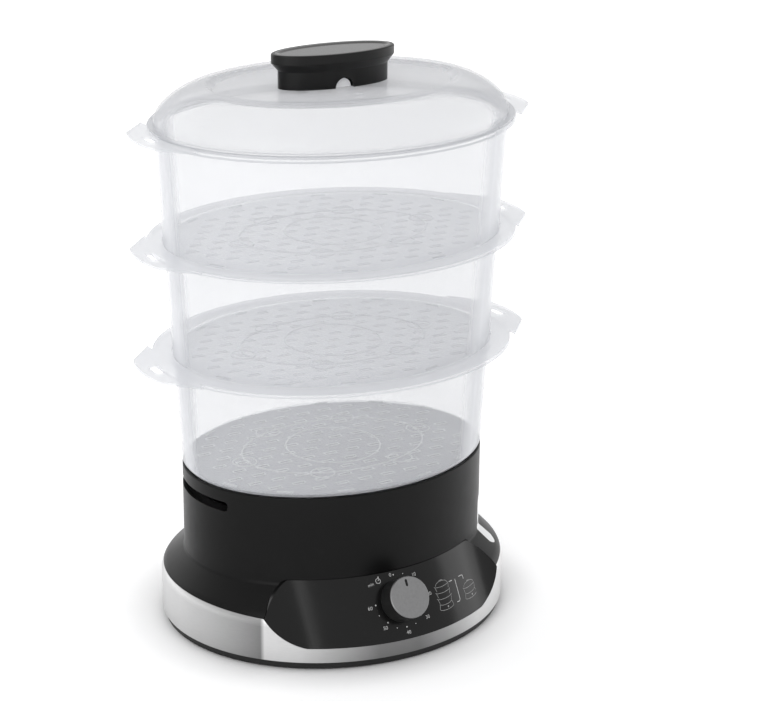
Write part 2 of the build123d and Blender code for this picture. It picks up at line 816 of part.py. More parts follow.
def make_bowl(name, level, flange_half, corner):
    """One bowl: perforated floor, leaning wall, stacking ledge, flange and two ear grips."""
    floor_z = bowl_zero_z + level * bowl_pitch
    bottom_x = drum_x + level * (bowl_draft + bowl_step)
    bottom_y = drum_y + level * (bowl_draft + bowl_step)
    top_x = bottom_x + bowl_draft
    top_y = bottom_y + bowl_draft
    seat_x = top_x + bowl_step + stack_play
    seat_y = top_y + bowl_step + stack_play
    top_z = floor_z + bowl_height
    seat_z = top_z - seat_depth
    rim_x = flange_half
    rim_y = flange_half - flange_narrowing

    with BuildPart() as bowl:
        # outside of the wall
        with BuildSketch(Plane.XY.offset(floor_z)):
            Ellipse(bottom_x, bottom_y)
        with BuildSketch(Plane.XY.offset(seat_z - bowl_wall)):
            Ellipse(top_x, top_y)
        loft(ruled=True)
        fillet(edges_at(bowl.part, floor_z), corner)
        # stacking rim
        with BuildSketch(Plane.XY.offset(seat_z - bowl_wall)):
            Ellipse(seat_x + bowl_wall, seat_y + bowl_wall)
        extrude(amount=seat_depth + bowl_wall)
        # flange with its two ears, and the lip turned down around the oval
        with BuildSketch(Plane.XY.offset(top_z - flange_thickness)):
            with BuildLine():
                right_tip = ThreePointArc(
                    (ear_corner_x, -ear_corner_y), (ear_reach, 0), (ear_corner_x, ear_corner_y)
                )
                Polyline(
                    right_tip @ 1,
                    (ear_root_x, ear_root_y),
                    (ear_root_x, -ear_root_y),
                    right_tip @ 0,
                )
            make_face()
            mirror(about=Plane.YZ)
            fillet(vertices().filter_by(lambda v: abs(v.X) > ear_root_x), ear_corner_round)
            Ellipse(rim_x, rim_y)
            with GridLocations(2 * ear_slot_x, 0, 2, 1):
                SlotOverall(ear_slot_length, ear_slot_width, rotation=90, mode=Mode.SUBTRACT)
        extrude(amount=flange_thickness)
        with BuildSketch(Plane.XY.offset(top_z - flange_lip)):
            Ellipse(rim_x, rim_y)
            Ellipse(rim_x - flange_lip_width, rim_y - flange_lip_width, mode=Mode.SUBTRACT)
        extrude(amount=flange_lip)
        # inside
        with BuildSketch(Plane.XY.offset(floor_z + bowl_floor)):
            Ellipse(bottom_x - bowl_wall, bottom_y - bowl_wall)
        with BuildSketch(Plane.XY.offset(seat_z)):
            Ellipse(top_x - bowl_wall, top_y - bowl_wall)
        loft(ruled=True, mode=Mode.SUBTRACT)
        with BuildSketch(Plane.XY.offset(seat_z)):
            Ellipse(seat_x, seat_y)
        extrude(amount=seat_depth, mode=Mode.SUBTRACT)
        # perforated floor
        with BuildSketch(Plane.XY.offset(floor_z)):
            with Locations(slot_places(bottom_x - slot_margin, bottom_y - slot_margin)):
                Rectangle(slot_length, slot_width)
        extrude(amount=bowl_floor, mode=Mode.SUBTRACT)
    bowl.part.label = name
    export_step(bowl.part, f"parts/{name}.step")


make_bowl("bowl_lower", 0, flange_x[0], low_bowl_round)
make_bowl("bowl_middle", 1, flange_x[1], bowl_round)
make_bowl("bowl_upper", 2, flange_x[2], bowl_round)

# ------------------------------------------------------------------ lid
lid_x = drum_x + 3 * (bowl_draft + bowl_step)
lid_y = drum_y + 3 * (bowl_draft + bowl_step)
lid_flange_x = flange_x[2] - lid_flange_inset
lid_foot_z = lid_z + lid_foot_height
crest_z = lid_foot_z + lid_dome_height
plateau_z = crest_z - lid_recess_depth
recess_inset = lid_crest_inset + lid_crest_width
plateau_inset = recess_inset + lid_recess_width


def dome(inward):
    """Solid under the dome's curve, from the lid's foot to the crest, set inward by a wall."""
    with BuildPart(mode=Mode.PRIVATE) as form:
        for section in range(lid_dome_sections + 1):
            turn = radians(90 * section / lid_dome_sections)
            inset = lid_crest_inset * (1 - cos(turn) ** lid_dome_power)
            inset = inset + inward * cos(turn)
            rise = lid_dome_height * sin(turn) ** lid_dome_power - inward * sin(turn)
            with BuildSketch(Plane.XY.offset(lid_foot_z + rise)):
                Ellipse(lid_x - inset, lid_y - inset)
        loft()
    return form.part


def recess(inward):
    """Solid that fills the lid's recess, grown by a wall."""
    with BuildPart(mode=Mode.PRIVATE) as form:
        with BuildSketch(Plane.XY.offset(crest_z)):
            Ellipse(lid_x - recess_inset + inward, lid_y - recess_inset + inward)
        with BuildSketch(Plane.XY.offset(plateau_z - inward)):
            Ellipse(lid_x - plateau_inset + inward, lid_y - plateau_inset + inward)
        loft(ruled=True)
    return form.part


with BuildPart() as lid:
    with BuildSketch(Plane.XY.offset(lid_z - lid_spigot)):
        Ellipse(lid_x, lid_y)
    extrude(amount=lid_spigot + lid_foot_height)
    with BuildSketch(Plane.XY.offset(lid_z)):
        Ellipse(lid_flange_x, lid_flange_x - flange_narrowing)
    extrude(amount=lid_flange_thickness)
    add(dome(0))
    add(recess(0), mode=Mode.SUBTRACT)
    with BuildSketch(Plane.XY.offset(lid_z - lid_spigot)):
        Ellipse(lid_x - lid_wall, lid_y - lid_wall)
    extrude(amount=lid_spigot + lid_foot_height, mode=Mode.SUBTRACT)
    add(dome(lid_wall) - recess(lid_wall), mode=Mode.SUBTRACT)
    with BuildSketch(Plane.XY.offset(plateau_z)):
        with GridLocations(0, 2 * vent_y, 1, 2):
            Circle(vent_radius)
        with GridLocations(2 * handle_screw_x, 0, 2, 1):
            Circle(handle_screw_radius + screw_play)
    extrude(amount=-lid_wall, mode=Mode.SUBTRACT)
lid.part.label = "lid"
export_step(lid.part, "parts/lid.step")

neck_top_z = plateau_z + neck_height
grip_z = neck_top_z + undercut_height
handle_top_z = grip_z + grip_height

with BuildPart() as lid_handle:
    with BuildSketch(Plane.XY.offset(plateau_z)):
        Ellipse(neck_x, neck_y)
    extrude(amount=neck_height)
    with BuildSketch(Plane.XY.offset(neck_top_z)):
        Ellipse(neck_x, neck_y)
    with BuildSketch(Plane.XY.offset(grip_z)):
        Ellipse(handle_x, handle_y)
    loft(ruled=True)
    with BuildSketch(Plane.XY.offset(grip_z)):
        Ellipse(handle_x, handle_y)
    extrude(amount=grip_height)
    fillet(edges_at(lid_handle.part, handle_top_z), grip_round)
    with BuildSketch(Plane.XY.offset(handle_top_z)):
        Ellipse(handle_x - handle_cap_inset, handle_y - handle_cap_inset)
    extrude(amount=-handle_cap_thickness, mode=Mode.SUBTRACT)
    # half-round notch that lets the steam out at the front
    with BuildSketch(Plane.XZ.offset(neck_y - notch_depth)):
        with Locations((0, plateau_z)):
            Circle(notch_radius)
    extrude(amount=2 * notch_depth, mode=Mode.SUBTRACT)
    with BuildSketch(Plane.XY.offset(plateau_z)):
        with GridLocations(2 * handle_screw_x, 0, 2, 1):
            Circle(handle_screw_radius + screw_play)
    extrude(amount=handle_screw_length, mode=Mode.SUBTRACT)
lid_handle.part.label = "lid_handle"
export_step(lid_handle.part, "parts/lid_handle.step")

cap_x = handle_x - handle_cap_inset - screw_play
cap_y = handle_y - handle_cap_inset - screw_play

with BuildPart() as handle_cap:
    with BuildSketch(Plane.XY.offset(handle_top_z - handle_cap_thickness)):
        Ellipse(cap_x, cap_y)
    extrude(amount=handle_cap_thickness)
    with BuildSketch(Plane.XY.offset(handle_top_z)):
        Ellipse(cap_x - handle_cap_rim, cap_y - handle_cap_rim)
    with BuildSketch(Plane.XY.offset(handle_top_z - handle_cap_dish)):
        Ellipse(cap_x - 3 * handle_cap_rim, cap_y - 3 * handle_cap_rim)
    loft(ruled=True, mode=Mode.SUBTRACT)
handle_cap.part.label = "handle_cap"
export_step(handle_cap.part, "parts/handle_cap.step")

with BuildPart() as handle_screws:
    with BuildSketch(Plane.XY.offset(plateau_z - lid_wall)):
        with GridLocations(2 * handle_screw_x, 0, 2, 1):
            Circle(handle_screw_radius)
    extrude(amount=lid_wall + handle_screw_length - seat_play)
    with BuildSketch(Plane.XY.offset(plateau_z - lid_wall)):
        with GridLocations(2 * handle_screw_x, 0, 2, 1):
            Circle(2 * handle_screw_radius)
    extrude(amount=-handle_screw_radius)
handle_screws.part.label = "handle_screws"
export_step(handle_screws.part, "parts/handle_screws.step")
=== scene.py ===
import math

import bpy
from mathutils import Matrix, Vector


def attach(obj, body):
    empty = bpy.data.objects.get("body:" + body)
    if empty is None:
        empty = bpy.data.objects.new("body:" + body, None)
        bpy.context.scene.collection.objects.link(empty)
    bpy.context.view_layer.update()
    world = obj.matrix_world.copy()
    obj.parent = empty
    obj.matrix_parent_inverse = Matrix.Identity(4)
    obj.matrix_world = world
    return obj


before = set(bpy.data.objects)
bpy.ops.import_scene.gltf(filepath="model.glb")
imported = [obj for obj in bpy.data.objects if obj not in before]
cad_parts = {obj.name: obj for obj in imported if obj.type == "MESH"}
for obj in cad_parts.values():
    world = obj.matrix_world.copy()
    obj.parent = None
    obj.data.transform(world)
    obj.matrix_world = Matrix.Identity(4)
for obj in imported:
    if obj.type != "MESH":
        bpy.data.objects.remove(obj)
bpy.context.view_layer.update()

# Electric food steamer.  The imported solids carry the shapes; this script gives them their
# materials and adds the dial's print, the relief on the bowls' floors and the lid's upstand.
# Shapes are given in millimetres and turned into metres with MM.

MM = 0.001


def add_object(name, data):
    obj = bpy.data.objects.new(name, data)
    bpy.context.collection.objects.link(obj)
    return obj


def lowest(node):
    """Height of a CAD node's lowest point, in millimetres."""
    return min(v.co.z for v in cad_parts[node].data.vertices) / MM


# ---------------------------------------------------------------- material helpers
GRAIN_HEIGHT = 0.0004
LINE_HEIGHT = 0.0002


class Nodes:
    """A new material's node tree, with the few calls that every material here needs."""

    def __init__(self, name):
        self.mat = bpy.data.materials.new(name)
        self.mat.use_nodes = True
        self.tree = self.mat.node_tree
        self.bsdf = self.tree.nodes["Principled BSDF"]
        self.coord = self.add("ShaderNodeTexCoord").outputs["Object"]

    def add(self, kind, **inputs):
        node = self.tree.nodes.new(kind)
        for key, value in inputs.items():
            node.inputs[key.replace("_", " ")].default_value = value
        return node

    def link(self, a, b):
        self.tree.links.new(a, b)

    def set(self, **values):
        for key, value in values.items():
            self.bsdf.inputs[key.replace("_", " ")].default_value = value

    def mapped(self, scale=(1, 1, 1), turn=0.0):
        """The piece's own coordinates, scaled, and turned about its upright axis."""
        node = self.add("ShaderNodeMapping", Scale=scale, Rotation=(0, 0, turn))
        self.link(self.coord, node.inputs["Vector"])
        return node.outputs["Vector"]

    def noise(self, scale, detail=3.0, rough=0.5, stretch=(1, 1, 1)):
        node = self.add("ShaderNodeTexNoise", Scale=scale, Detail=detail, Roughness=rough)
        self.link(self.mapped(stretch), node.inputs["Vector"])
        return node.outputs["Fac"]

    def gradient(self, kind, vector):
        node = self.add("ShaderNodeTexGradient")
        node.gradient_type = kind
        self.link(vector, node.inputs["Vector"])
        return node.outputs["Fac"]

    def ramp(self, fac, stops):
        node = self.add("ShaderNodeValToRGB")
        band = node.color_ramp
        while len(band.elements) < len(stops):
            band.elements.new(0.5)
        for element, (place, colour) in zip(band.elements, stops):
            element.position = place
            element.color = (*colour, 1)
        self.link(fac, node.inputs["Fac"])
        return node.outputs["Color"]

    def drift(self, fac, dark, light):
        """Two close colours that run into each other, as the base colour."""
        self.link(self.ramp(fac, [(0.3, dark), (0.7, light)]), self.bsdf.inputs["Base Color"])

    def spread(self, fac, low, high, name, start=0.0, end=1.0):
        """A shader input that goes from low to high as fac goes from start to end."""
        node = self.add(
            "ShaderNodeMapRange", From_Min=start, From_Max=end, To_Min=low, To_Max=high
        )
        self.link(fac, node.inputs["Value"])
        self.link(node.outputs["Result"], self.bsdf.inputs[name])

    def bump(self, height, strength, distance):
        node = self.add("ShaderNodeBump", Strength=strength, Distance=distance)
        self.link(height, node.inputs["Height"])
        self.link(node.outputs["Normal"], self.bsdf.inputs["Normal"])


def grey(value):
    return (value, value, value)


def plastic(name, dark, light, rough, grain=420.0, depth=0.02, spec=0.5):
    """Moulded plastic: slow colour drift, fine moulding grain and a little gloss variation."""
    m = Nodes(name)
    m.drift(m.noise(14.0, 4.0, 0.6), dark, light)
    m.spread(m.noise(60.0, 5.0, 0.65), rough * 0.88, rough * 1.14, "Roughness")
    m.bump(m.noise(grain, 2.0, 0.5), depth, GRAIN_HEIGHT)
    m.set(Specular_IOR_Level=spec)
    return m.mat


def metal(name, value, rough, tint=(1, 1, 1), grain=300.0):
    """Metal with a fine grain in colour and roughness."""
    m = Nodes(name)
    lines = m.noise(grain, 3.0, 0.6)
    low = tuple(value * 0.93 * t for t in tint)
    high = tuple(min(1.0, value * 1.05) * t for t in tint)
    m.drift(lines, low, high)
    m.spread(lines, rough * 0.85, rough * 1.2, "Roughness")
    m.bump(lines, 0.03, LINE_HEIGHT)
    m.set(Metallic=1.0)
    return m.mat


# direction in degrees, from the front (-Y) towards +X, with the band's tone there: painted
# reflections, light and dark streaks round the band, the sharp step near -51 degrees the painted
# edge of a reflected lamp
BAND_PAINTED_REFLECTIONS = [
    (-180, 0.60), (-140, 0.27), (-115, 0.50), (-96, 0.62), (-85, 0.60), (-70, 0.46), (-59, 0.32),
    (-51.8, 0.21), (-50.8, 0.66), (-39, 0.60), (-25, 0.40), (-11, 0.20), (4, 0.19), (17, 0.35),
    (34, 0.7), (54, 0.72), (90, 0.42), (125, 0.25), (160, 0.50), (180, 0.60),
]


def painted_reflection_band():
    """Bright metallised band with painted reflections: its tone rises and falls along its length.
    """
    m = Nodes("band_metal_painted_reflections")
    # painted reflections: the base colour goes light and dark by direction round the band
    painted_reflections = m.ramp(
        m.gradient("RADIAL", m.mapped(turn=math.radians(90))),
        [((angle + 180) / 360, grey(tone)) for angle, tone in BAND_PAINTED_REFLECTIONS],
    )
    lines = m.noise(180, 3.0, 0.6, (1, 1, 14))
    fine = m.ramp(lines, [(0.3, grey(0.94)), (0.7, grey(1))])
    mix = m.add("ShaderNodeMix")
    mix.data_type = "RGBA"
    mix.blend_type = "MULTIPLY"
    mix.inputs["Factor"].default_value = 1.0
    m.link(painted_reflections, mix.inputs["A"])
    m.link(fine, mix.inputs["B"])
    m.link(mix.outputs["Result"], m.bsdf.inputs["Base Color"])
    m.spread(lines, 0.26, 0.34, "Roughness")
    m.bump(lines, 0.02, LINE_HEIGHT)
    m.set(Metallic=1.0)
    return m.mat


# Layer Weight's Facing (with a blend of 0.5) where milky plastic starts and stops to get denser
DENSER_FROM, DENSER_TO = 0.53, 0.67


def milky(name, face, edge, rough=0.2, colour=(0.87, 0.882, 0.915)):
    """Milky clear plastic: see-through where faced, denser where seen at a glancing angle."""
    m = Nodes(name)
    m.drift(m.noise(9.0, 3.0, 0.5), tuple(c * 0.97 for c in colour), colour)
    glance = m.add("ShaderNodeLayerWeight", Blend=0.5)
    m.spread(glance.outputs["Facing"], face, edge, "Alpha", DENSER_FROM, DENSER_TO)
    m.spread(m.noise(50.0, 4.0, 0.6), rough * 0.85, rough * 1.2, "Roughness")
    m.bump(m.noise(260.0, 2.0, 0.5), 0.015, GRAIN_HEIGHT)
    m.set(IOR=1.46, Specular_IOR_Level=0.28)
    return m.mat


# ---------------------------------------------------------------- materials
housing_black = plastic("housing_black", grey(0.0035), grey(0.005), 0.37, 380, 0.015, 0.12)
panel_black = plastic("panel_black", grey(0.0045), grey(0.006), 0.17, 300, 0.01, 0.22)
plate_black = plastic("plate_black", grey(0.009), grey(0.012), 0.42, 500, 0.05, 0.3)
tank_black = plastic("tank_black", grey(0.005), grey(0.008), 0.45, 500, 0.05, 0.2)
knob_black = plastic("knob_black", grey(0.011), grey(0.015), 0.36, 700, 0.04, 0.35)
handle_black = plastic("handle_black", grey(0.005), grey(0.007), 0.32, 450, 0.03, 0.2)
handle_gloss = plastic("handle_gloss", grey(0.006), grey(0.008), 0.16, 300, 0.01, 0.35)
rubber = plastic("foot_rubber", grey(0.012), grey(0.02), 0.7, 900, 0.1, 0.25)
seal_red = plastic("seal_rubber", (0.3, 0.05, 0.03), (0.36, 0.07, 0.04), 0.6, 600, 0.06)
timer_cream = plastic("timer_case", (0.55, 0.53, 0.47), (0.6, 0.58, 0.52), 0.5, 400, 0.04)
phenolic = plastic("thermostat_case", (0.03, 0.018, 0.012), (0.045, 0.027, 0.018), 0.5)
# the trim band's metal, with painted reflections in its base colour
band_metal_painted_reflections = painted_reflection_band()
cap_metal = metal("knob_cap_metal", 0.22, 0.34, (1, 1, 1.01), 600)
screw_metal = metal("screw_steel", 0.6, 0.35)
plate_metal = metal("heater_metal", 0.6, 0.3)
tube_metal = metal("tube_metal", 0.45, 0.42)
brass = metal("shaft_brass", 0.75, 0.3, (0.95, 0.72, 0.36))
bowl_milky = milky("bowl_milky", 0.235, 0.6)
# the lid's plastic: the bowls' milky plastic made darker, painted shade on the lid
lid_milky_painted_shade = milky("lid_milky_painted_shade", 0.235, 0.5, 0.2, (0.68, 0.69, 0.72))
tray_milky = milky("tray_milky", 0.6, 0.85, 0.3)
# the level window: near-white and almost opaque, a painted highlight on the window
window_painted_highlight = milky("window_painted_highlight", 0.93, 0.98, 0.12, (0.97, 0.975, 0.98))
# the floors' relief: real ridges and slot lips, in plastic whiter and denser than the bowls', a
# painted glint on them
relief_milky = milky("relief_milky", 0.5, 0.8, 0.2, (0.9, 0.91, 0.94))
# the lowest bowl's relief: a whiter, denser copy, painted highlight against the shade on that
# floor
relief_low_painted_highlight = milky("relief_milky_low_painted_highlight", 0.75, 0.9, 0.2, (0.97, 0.975, 0.985))
# the upstand's plastic: the lid's plastic made near-white and almost opaque, a painted highlight
upstand_painted_highlight = milky("upstand_painted_highlight", 0.96, 0.99, 0.2, (0.95, 0.955, 0.965))
print_white = plastic("dial_print", grey(0.5), grey(0.58), 0.5, 900, 0.03)
print_dim = plastic("dial_print_dim", grey(0.26), grey(0.3), 0.5, 900, 0.03)

MATERIALS = {
    "housing": housing_black,
    "trim_band": band_metal_painted_reflections,
    "base_plate": plate_black,
    "rubber_feet": rubber,
    "base_screws": screw_metal,
    "control_panel": panel_black,
    "timer": timer_cream,
    "timer_screws": screw_metal,
    "level_window": window_painted_highlight,
    "water_tank": tank_black,
    "heater_seal": seal_red,
    "heater_plate": plate_metal,
    "heater_tube": tube_metal,
    "thermostat": phenolic,
    "terminal_block": tank_black,
    "cord_gland": rubber,
    "knob": knob_black,
    "knob_cap": cap_metal,
    "timer_shaft": brass,
    "steam_ring": tank_black,
    "drip_tray": tray_milky,
    "bowl_lower": bowl_milky,
    "bowl_middle": bowl_milky,
    "bowl_upper": bowl_milky,
    "lid": lid_milky_painted_shade,
    "lid_handle": handle_black,
    "handle_cap": handle_gloss,
    "handle_screws": screw_metal,
}
for node, material in MATERIALS.items():
    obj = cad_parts[node]
    obj.data.materials.clear()
    obj.data.materials.append(material)


# ---------------------------------------------------------------- dial print
# The panel's face is bowed in plan and leans back; its top edge at the middle is at PANEL_Y.
SLOPE = 0.6425
LEAN = math.atan(SLOPE)
PANEL_Y = -88.5
PANEL_TOP = 58.0
DIAL_Z = 40.0
DIAL = Vector((0, PANEL_Y - SLOPE * (PANEL_TOP - DIAL_Z), DIAL_Z))
UP = Vector((0, math.sin(LEAN), math.cos(LEAN)))
BOW_HALF, BOW_DEPTH = 66.0, 17.5
ARC_RADIUS = (BOW_HALF**2 + BOW_DEPTH**2) / (2 * BOW_DEPTH)
PRINT_PROUD = 0.12
TEXT_DEPTH = 0.02


def on_panel(u, v):
    """Point and frame on the panel: u to the right and v up the slope, from the dial's centre."""
    across = math.asin(u / ARC_RADIUS)
    x = ARC_RADIUS * math.sin(across)
    back = ARC_RADIUS * (1 - math.cos(across))
    point = DIAL + UP * v + Vector((x, back, 0))
    side = Vector((math.cos(across), math.sin(across), 0))
    normal = side.cross(UP).normalized()
    up = normal.cross(side).normalized()
    place = Matrix((side, up, normal)).transposed().to_4x4()
    place.translation = (point + normal * PRINT_PROUD) * MM
    return place


def finish_print(obj, material):
    obj.data.materials.append(material)
    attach(obj, "base")


def printed(name, text, size, u, v, turn=0.0):
    """A word or number of the dial, as a text object."""
    curve = bpy.data.curves.new(name, "FONT")
    curve.body = text
    curve.size = size * MM
    curve.align_x = "CENTER"
    curve.align_y = "CENTER"
    curve.extrude = TEXT_DEPTH * MM
    obj = add_object(name, curve)
    obj.matrix_world = on_panel(u, v) @ Matrix.Rotation(turn, 4, "Z")
    finish_print(obj, print_white)


def patch(name, shapes, material):
    """One mesh of flat outlines laid on the panel; each is a list of (u, v) points."""
    verts, faces = [], []
    for outline in shapes:
        start = len(verts)
        verts += [on_panel(u, v).translation for u, v in outline]
        faces.append(list(range(start, len(verts))))
    mesh = bpy.data.meshes.new(name)
    mesh.from_pydata(verts, [], faces)
    finish_print(add_object(name, mesh), material)


def disc(u, v, radius, count=16):
    turns = [2 * math.pi * i / count for i in range(count)]
    return [(u + radius * math.cos(t), v + radius * math.sin(t)) for t in turns]


def stroke(points, width, closed=False):
    """Quads that follow a line of (u, v) points."""
    quads = []
    pairs = list(zip(points, points[1:]))
    if closed:
        pairs.append((points[-1], points[0]))
    for (u0, v0), (u1, v1) in pairs:
        length = math.hypot(u1 - u0, v1 - v0) or 1.0
        nu, nv = -(v1 - v0) / length * width / 2, (u1 - u0) / length * width / 2
        quads.append([
            (u0 - nu, v0 - nv), (u1 - nu, v1 - nv), (u1 + nu, v1 + nv), (u0 + nu, v0 + nv),
        ])
    return quads


def bow(u, v, half, rise, count=10):
    """Points of half an ellipse about (u, v); a negative rise hangs down."""
    turns = [math.pi * i / count for i in range(count + 1)]
    return [(u + half * math.cos(t), v + rise * math.sin(t)) for t in turns]


def both_sides(u, inner, v0, outer, v1):
    """Two slanting lines, the same to the left and right of u."""
    return [[(u + s * inner, v0), (u + s * outer, v1)] for s in (-1, 1)]


SIGN_LINE = 0.32
SIGN_TIER = 4.3


def stack_sign(u, top, tiers):
    """A plain line drawing of a steamer with the given number of bowls."""
    v = top - 2.8
    lines = [bow(u, v, 5.6, 2.6), [(u - 1.5, top + 0.3), (u + 1.5, top + 0.3)]]
    for _ in range(tiers):
        lines.append(bow(u, v, 7.0, -1.5))
        lines += both_sides(u, 6.3, v - 0.8, 5.5, v - 4.0)
        v -= SIGN_TIER
    lines.append(bow(u, v, 5.5, -1.4))
    lines += both_sides(u, 5.5, v, 6.6, v - 3.4)
    lines.append(bow(u, v - 3.4, 6.6, -1.7))
    quads = [disc(u + 1.2, v - 3.3, 0.7, 10)]
    for line in lines:
        quads += stroke(line, SIGN_LINE)
    return quads


# the numbers 0, 10 ... 60, each by its place around the knob
NUMBER_PLACES = [
    (-2.4, 18.9), (15.9, 15.2), (24.6, -1.0), (18.2, -15.9), (0.5, -22.6), (-15.8, -16.6),
    (-23.0, -1.7),
]
NUMBER_SIZE, UNIT_SIZE = 3.5, 3.1
for index, (u, v) in enumerate(NUMBER_PLACES):
    printed(f"dial_number_{index * 10}", str(index * 10), NUMBER_SIZE, u, v)
printed("dial_unit", "min", UNIT_SIZE, -18.2, 14.5, math.radians(11))

# a dot at each number and a smaller one halfway to the next, clockwise from the top
DIAL_START = math.radians(90)
DIAL_STEP = math.radians(-45)
BIG_DOT, SMALL_DOT = (0.55, 18.6), (0.38, 19.4)     # radius, distance from the dial's centre
dots = []
for index in range(2 * len(NUMBER_PLACES) - 1):
    angle = DIAL_START + DIAL_STEP * index / 2
    radius, reach = SMALL_DOT if index % 2 else BIG_DOT
    dots.append(disc(reach * math.cos(angle), reach * math.sin(angle), radius))
patch("dial_dots", dots, print_white)

WATCH_U, WATCH_V = -12.4, 16.4
watch = stroke(disc(WATCH_U, WATCH_V, 1.75, 20), 0.42, closed=True)
watch += stroke([(WATCH_U + 0.5, WATCH_V + 1.9), (WATCH_U + 0.85, WATCH_V + 3.0)], 0.8)
watch += stroke([(WATCH_U, WATCH_V), (WATCH_U + 0.75, WATCH_V + 1.0)], 0.4)
patch("dial_watch", watch, print_white)

BRACKET_LINE = 0.5
bracket = stroke([(44.4, 1.4), (58.0, 1.4), (58.8, 0.4), (58.8, -1.8)], BRACKET_LINE)
bracket += stroke([(50.4, 1.4), (50.4, -13.4), (49.6, -14.3), (47.2, -14.3)], BRACKET_LINE)
patch("sign_bracket", bracket, print_white)
patch("sign_stacks", stack_sign(36.8, 4.8, 3) + stack_sign(62.6, -4.6, 1), print_dim)


# ---------------------------------------------------------------- relief on the bowls' floors
def piece(name, verts, faces, material, body):
    """A mesh of points in millimetres that rides on a body."""
    mesh = bpy.data.meshes.new(name)
    mesh.from_pydata([tuple(c * MM for c in v) for v in verts], [], faces)
    mesh.materials.append(material)
    obj = add_object(name, mesh)
    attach(obj, body)


# half-round section of a ridge: part of its width, part of its height
RIDGE_SECTION = [(-0.5, 0.0), (-0.3, 0.8), (0.0, 1.0), (0.3, 0.8), (0.5, 0.0)]


def add_ridge(verts, faces, centre, half_x, half_y, z, width=1.2, height=0.7, count=72):
    """A half-round ridge that follows an oval on a floor."""
    start, across = len(verts), len(RIDGE_SECTION)
    for i in range(count):
        t = 2 * math.pi * i / count
        for out, up in RIDGE_SECTION:
            verts.append((
                centre[0] + (half_x + out * width) * math.cos(t),
                centre[1] + (half_y + out * width) * math.sin(t),
                z + up * height,
            ))
    for i in range(count):
        a, b = start + i * across, start + (i + 1) % count * across
        faces += [(a + k, b + k, b + k + 1, a + k + 1) for k in range(across - 1)]


def add_lip(verts, faces, x, y, turn, length, width, z, rim=0.9, height=0.35):
    """The raised lip around one slot: up its inside, across its top and down its outside."""
    start = len(verts)
    for grow, up in ((0.0, 0.0), (0.0, height), (rim, height), (rim, 0.0)):
        for sx, sy in ((-1, -1), (1, -1), (1, 1), (-1, 1)):
            px, py = sx * (length / 2 + grow), sy * (width / 2 + grow)
            verts.append((
                x + px * math.cos(turn) - py * math.sin(turn),
                y + px * math.sin(turn) + py * math.cos(turn),
                z + up,
            ))
    for ring in range(3):
        for k in range(4):
            a, b = start + 4 * ring + k, start + 4 * ring + (k + 1) % 4
            faces.append((a, b, b + 4, a + 4))


# as in the CAD: half-axes of the lowest floor, growth from bowl to bowl, and the slots
FLOOR_X, FLOOR_Y = 112.0, 88.0
BOWL_GROWTH = 4.8
FLOOR_THICKNESS = 1.8
SLOT_LENGTH, SLOT_WIDTH = 8.0, 2.2
SLOT_PITCH_X, SLOT_PITCH_Y = 18.0, 13.0
SLOT_MARGIN = 9


def slot_places(half_x, half_y):
    """Where the CAD's floors have their slots: staggered rows inside an oval."""
    rows, columns = int(half_y / SLOT_PITCH_Y), int(half_x / SLOT_PITCH_X) + 1
    for row in range(-rows, rows + 1):
        for column in range(-columns, columns + 1):
            x = column * SLOT_PITCH_X + (SLOT_PITCH_X / 2 if row % 2 else 0)
            y = row * SLOT_PITCH_Y
            if math.hypot((abs(x) + SLOT_LENGTH / 2) / half_x, abs(y) / half_y) <= 1:
                yield x, y


WIDE_OVAL = (69, 48.5)
ROUND_RADIUS = 34
EGG_SEATS = [(70.5, 0), (31, 43.5), (-31, 43.5), (-70.5, 0), (-31, -43.5), (31, -43.5)]
SEAT_RADIUS = 8.5
BAR_INSET = 6           # from the floor's edge
BAR_TURNS = (17, 41, 66.5)      # degrees to either side of the front and the back
BAR_LENGTH, BAR_WIDTH = 10.0, 0.8
for level, body in enumerate(("bowl_lower", "bowl_middle", "bowl_upper")):
    floor_z = lowest(body) + FLOOR_THICKNESS
    half_x, half_y = FLOOR_X + BOWL_GROWTH * level, FLOOR_Y + BOWL_GROWTH * level
    verts, faces = [], []
    add_ridge(verts, faces, (0, 0), *WIDE_OVAL, floor_z)
    add_ridge(verts, faces, (0, 0), ROUND_RADIUS, ROUND_RADIUS, floor_z)
    for seat in EGG_SEATS:
        add_ridge(verts, faces, seat, SEAT_RADIUS, SEAT_RADIUS, floor_z, 1.0, 0.7, 28)
    for x, y in slot_places(half_x - SLOT_MARGIN, half_y - SLOT_MARGIN):
        add_lip(verts, faces, x, y, 0.0, SLOT_LENGTH, SLOT_WIDTH, floor_z)
    bar_x, bar_y = half_x - BAR_INSET, half_y - BAR_INSET
    for turn in BAR_TURNS:
        for angle in (90 - turn, 90 + turn, 270 - turn, 270 + turn):
            t = math.radians(angle)
            x, y = bar_x * math.cos(t), bar_y * math.sin(t)
            heading = math.atan2(bar_y * math.cos(t), -bar_x * math.sin(t))
            add_lip(verts, faces, x, y, heading, BAR_LENGTH, BAR_WIDTH, floor_z, 0.6, 0.5)
    # the lowest bowl gets the lighter copy of the relief, a painted highlight
    relief = relief_milky if level else relief_low_painted_highlight
    piece(f"{body}_relief", verts, faces, relief, body)

